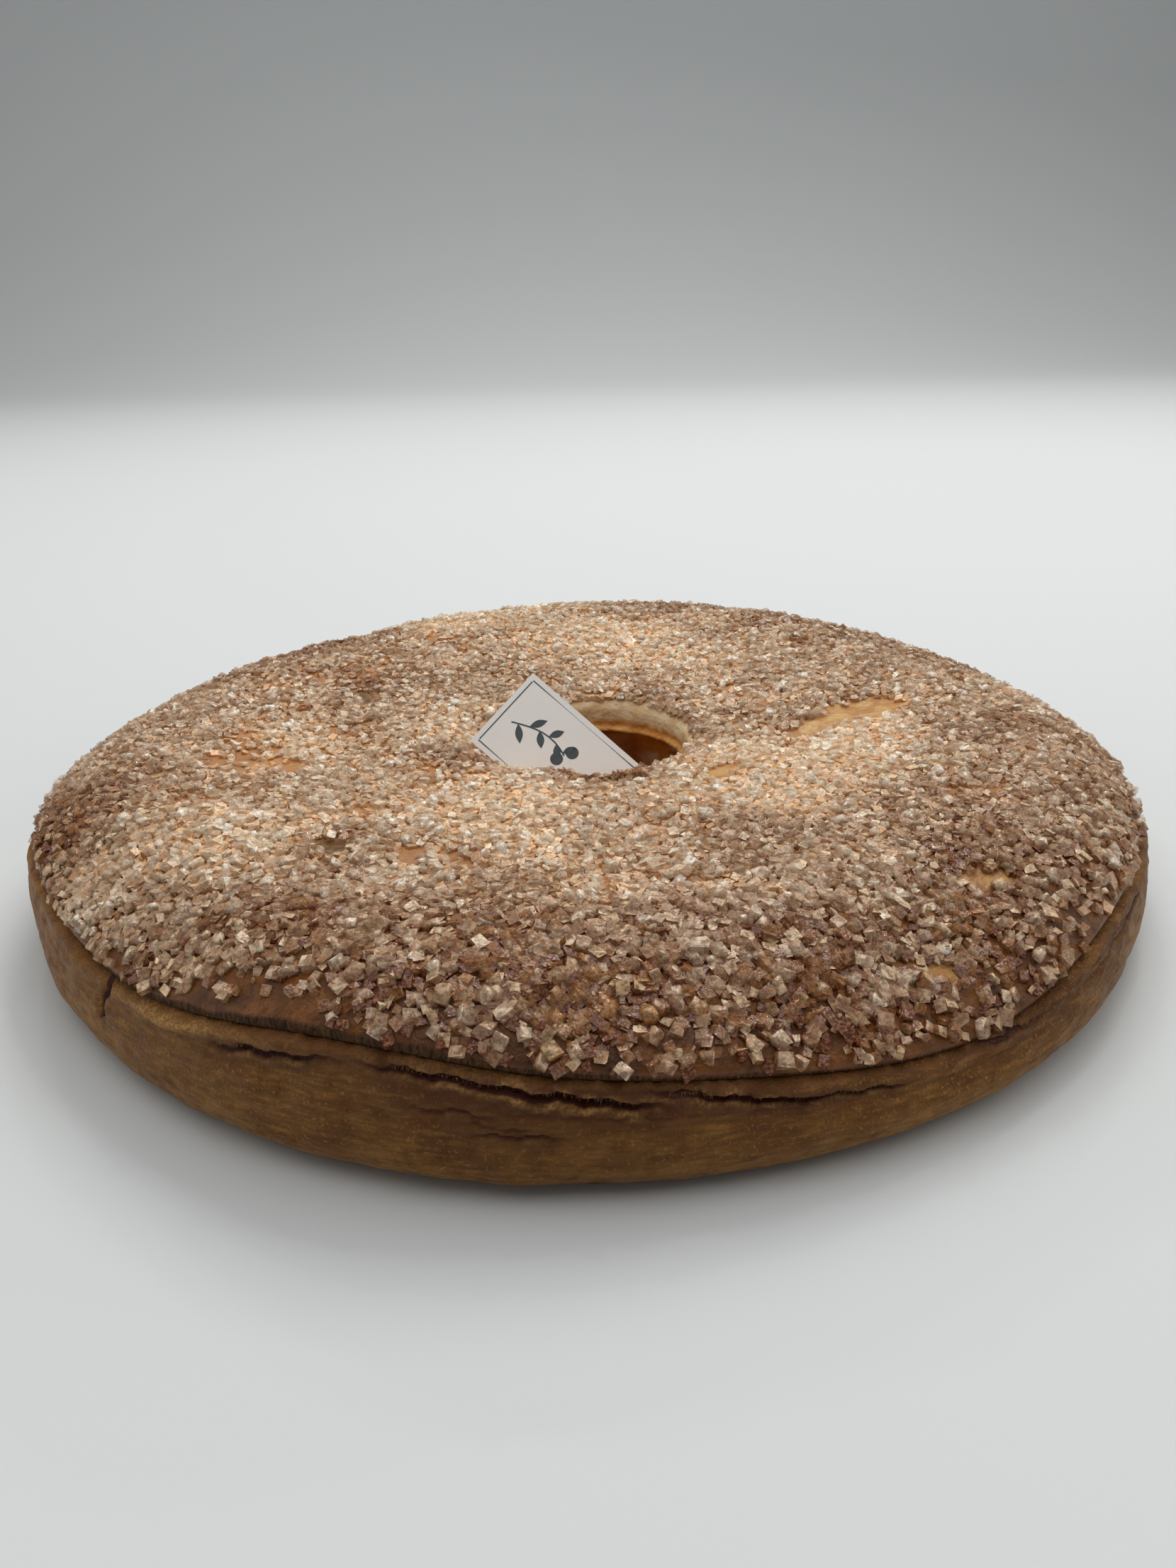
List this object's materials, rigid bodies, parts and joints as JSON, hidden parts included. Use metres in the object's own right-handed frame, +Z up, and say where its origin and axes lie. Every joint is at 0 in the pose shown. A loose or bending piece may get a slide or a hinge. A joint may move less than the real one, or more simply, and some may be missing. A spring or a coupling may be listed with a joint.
{
  "type": "covered apricot tart",
  "caption": "Round covered tart with a golden baked base, apricot filling and a sugared lid with a hole in the middle, where a small paper tag leans.",
  "frame": {"origin": "centre of the footprint, on the flat underside", "axes": "+Z up, the tart's thin way; -Y the front, towards the picture's camera; +X the picture's right"},
  "size_m": [0.2392, 0.2376, 0.0418],
  "materials": {
    "base_crust": "matte",
    "apricot_filling": "glossy",
    "lid_crust": "satin",
    "paper_tag": "satin"
  },
  "bodies": {
    "root": {"base_crust": "base_crust", "apricot_filling": "apricot_filling", "lid_crust": "lid_crust", "paper_tag": "paper_tag"}
  },
  "joints": []
}
